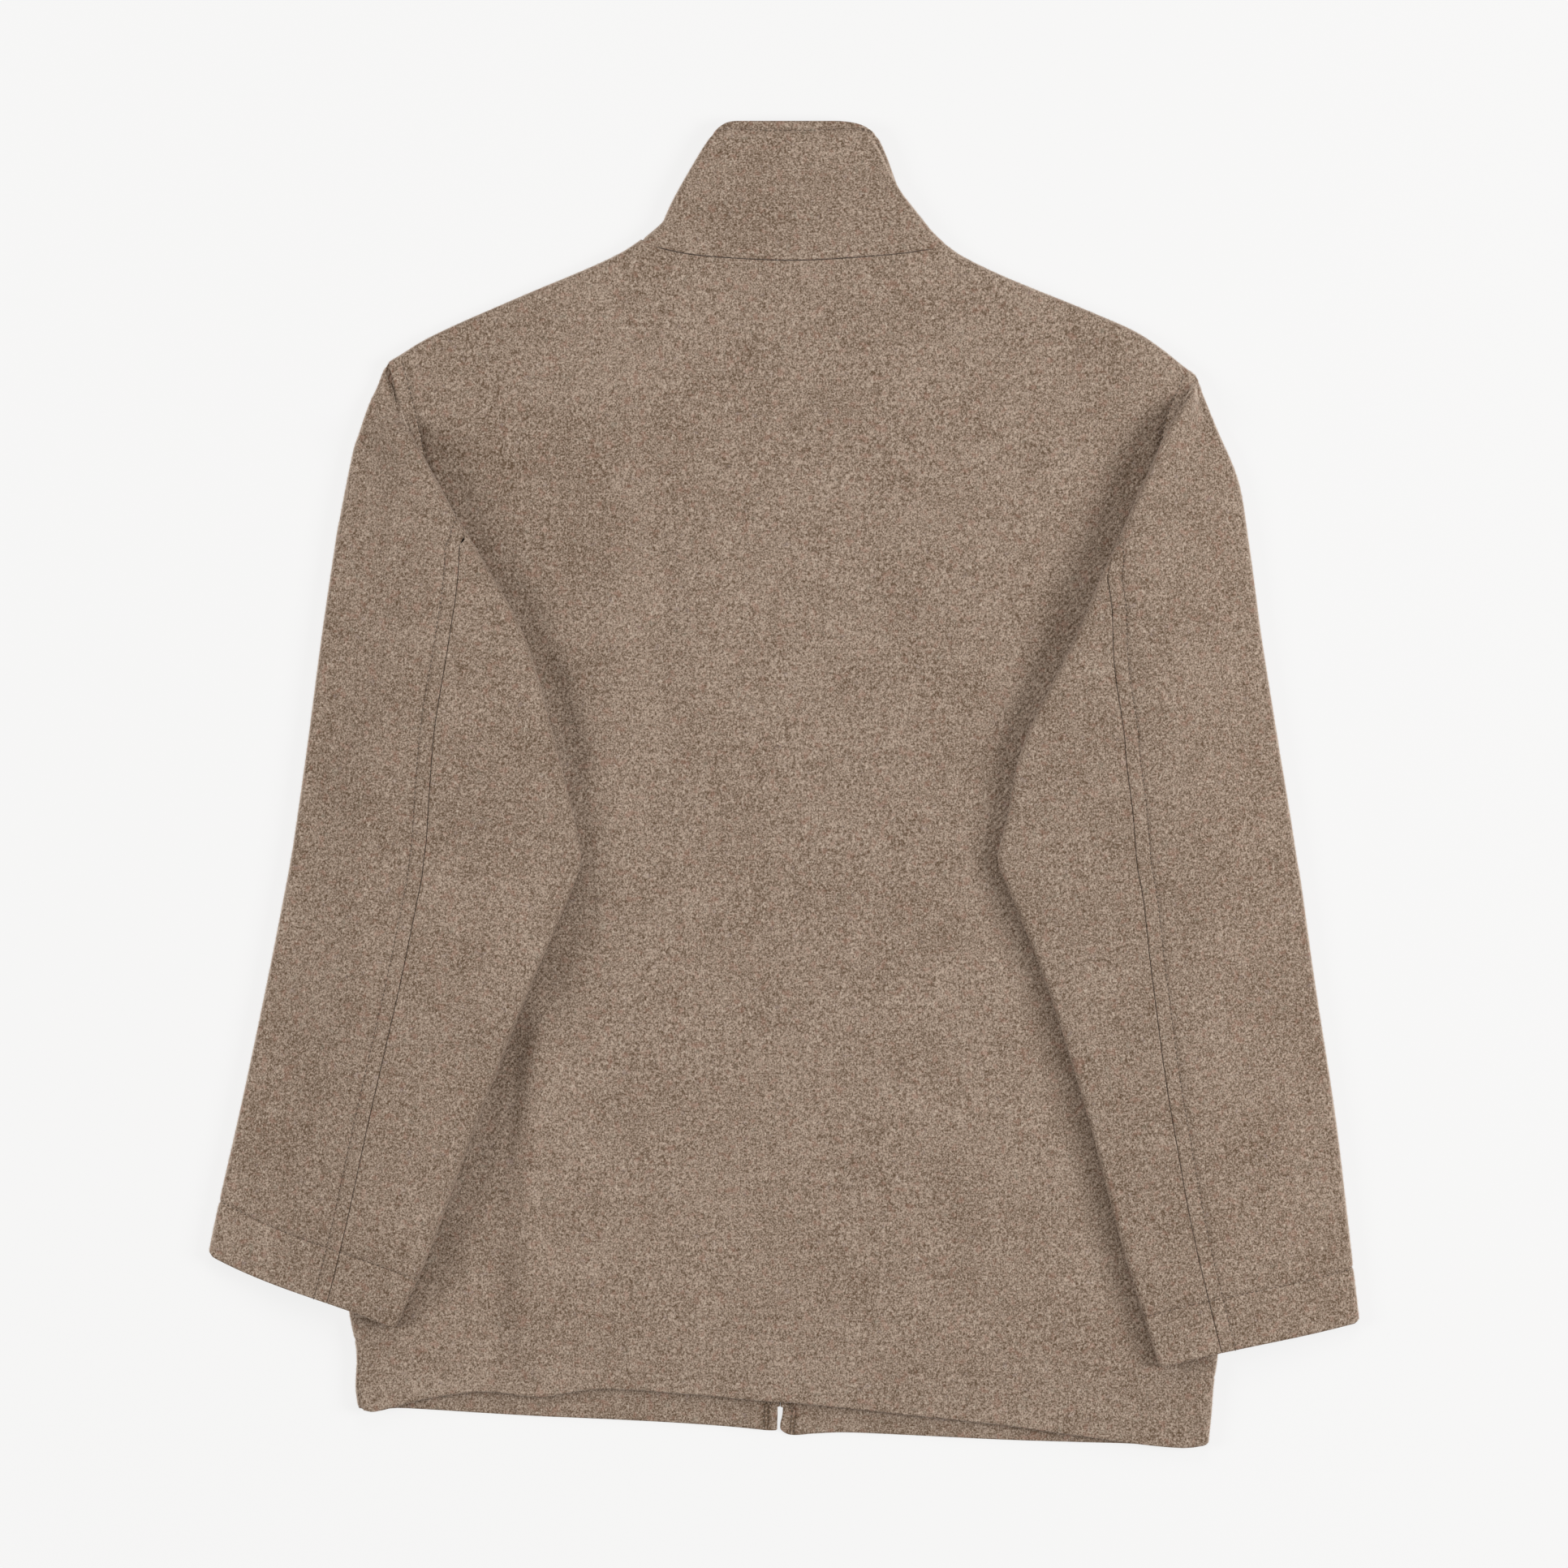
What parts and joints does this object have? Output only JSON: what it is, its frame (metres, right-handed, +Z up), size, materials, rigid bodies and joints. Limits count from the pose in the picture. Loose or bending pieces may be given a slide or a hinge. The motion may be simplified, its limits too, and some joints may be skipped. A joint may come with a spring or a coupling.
{
  "type": "blouson",
  "caption": "Boxy wool blouson with a stand collar and two-piece sleeves, laid flat on its fronts with the sleeves folded down over the back.",
  "frame": {"origin": "centre of the laid garment's footprint, on the surface it lies on", "axes": "+X to the wearer's right, +Y from the hem to the collar, +Z up out of the back"},
  "size_m": [0.7086, 0.8168, 0.0203],
  "materials": {
    "wool_back": "napped melange wool",
    "wool_front_left": "napped melange wool",
    "wool_front_right": "napped melange wool",
    "wool_sleeve_left_upper": "napped melange wool",
    "wool_sleeve_left_under": "napped melange wool",
    "wool_sleeve_right_upper": "napped melange wool",
    "wool_sleeve_right_under": "napped melange wool",
    "wool_collar": "napped melange wool, doubled",
    "tape_left": "woven tape",
    "tape_right": "woven tape",
    "teeth": "satin"
  },
  "bodies": {
    "root": {"back": "wool_back", "front_left": "wool_front_left", "front_right": "wool_front_right", "sleeve_left_upper": "wool_sleeve_left_upper", "sleeve_left_under": "wool_sleeve_left_under", "sleeve_right_upper": "wool_sleeve_right_upper", "sleeve_right_under": "wool_sleeve_right_under", "collar": "wool_collar", "zip_tape_left": "tape_left", "zip_tape_right": "tape_right", "zip_teeth": "teeth"}
  },
  "joints": []
}
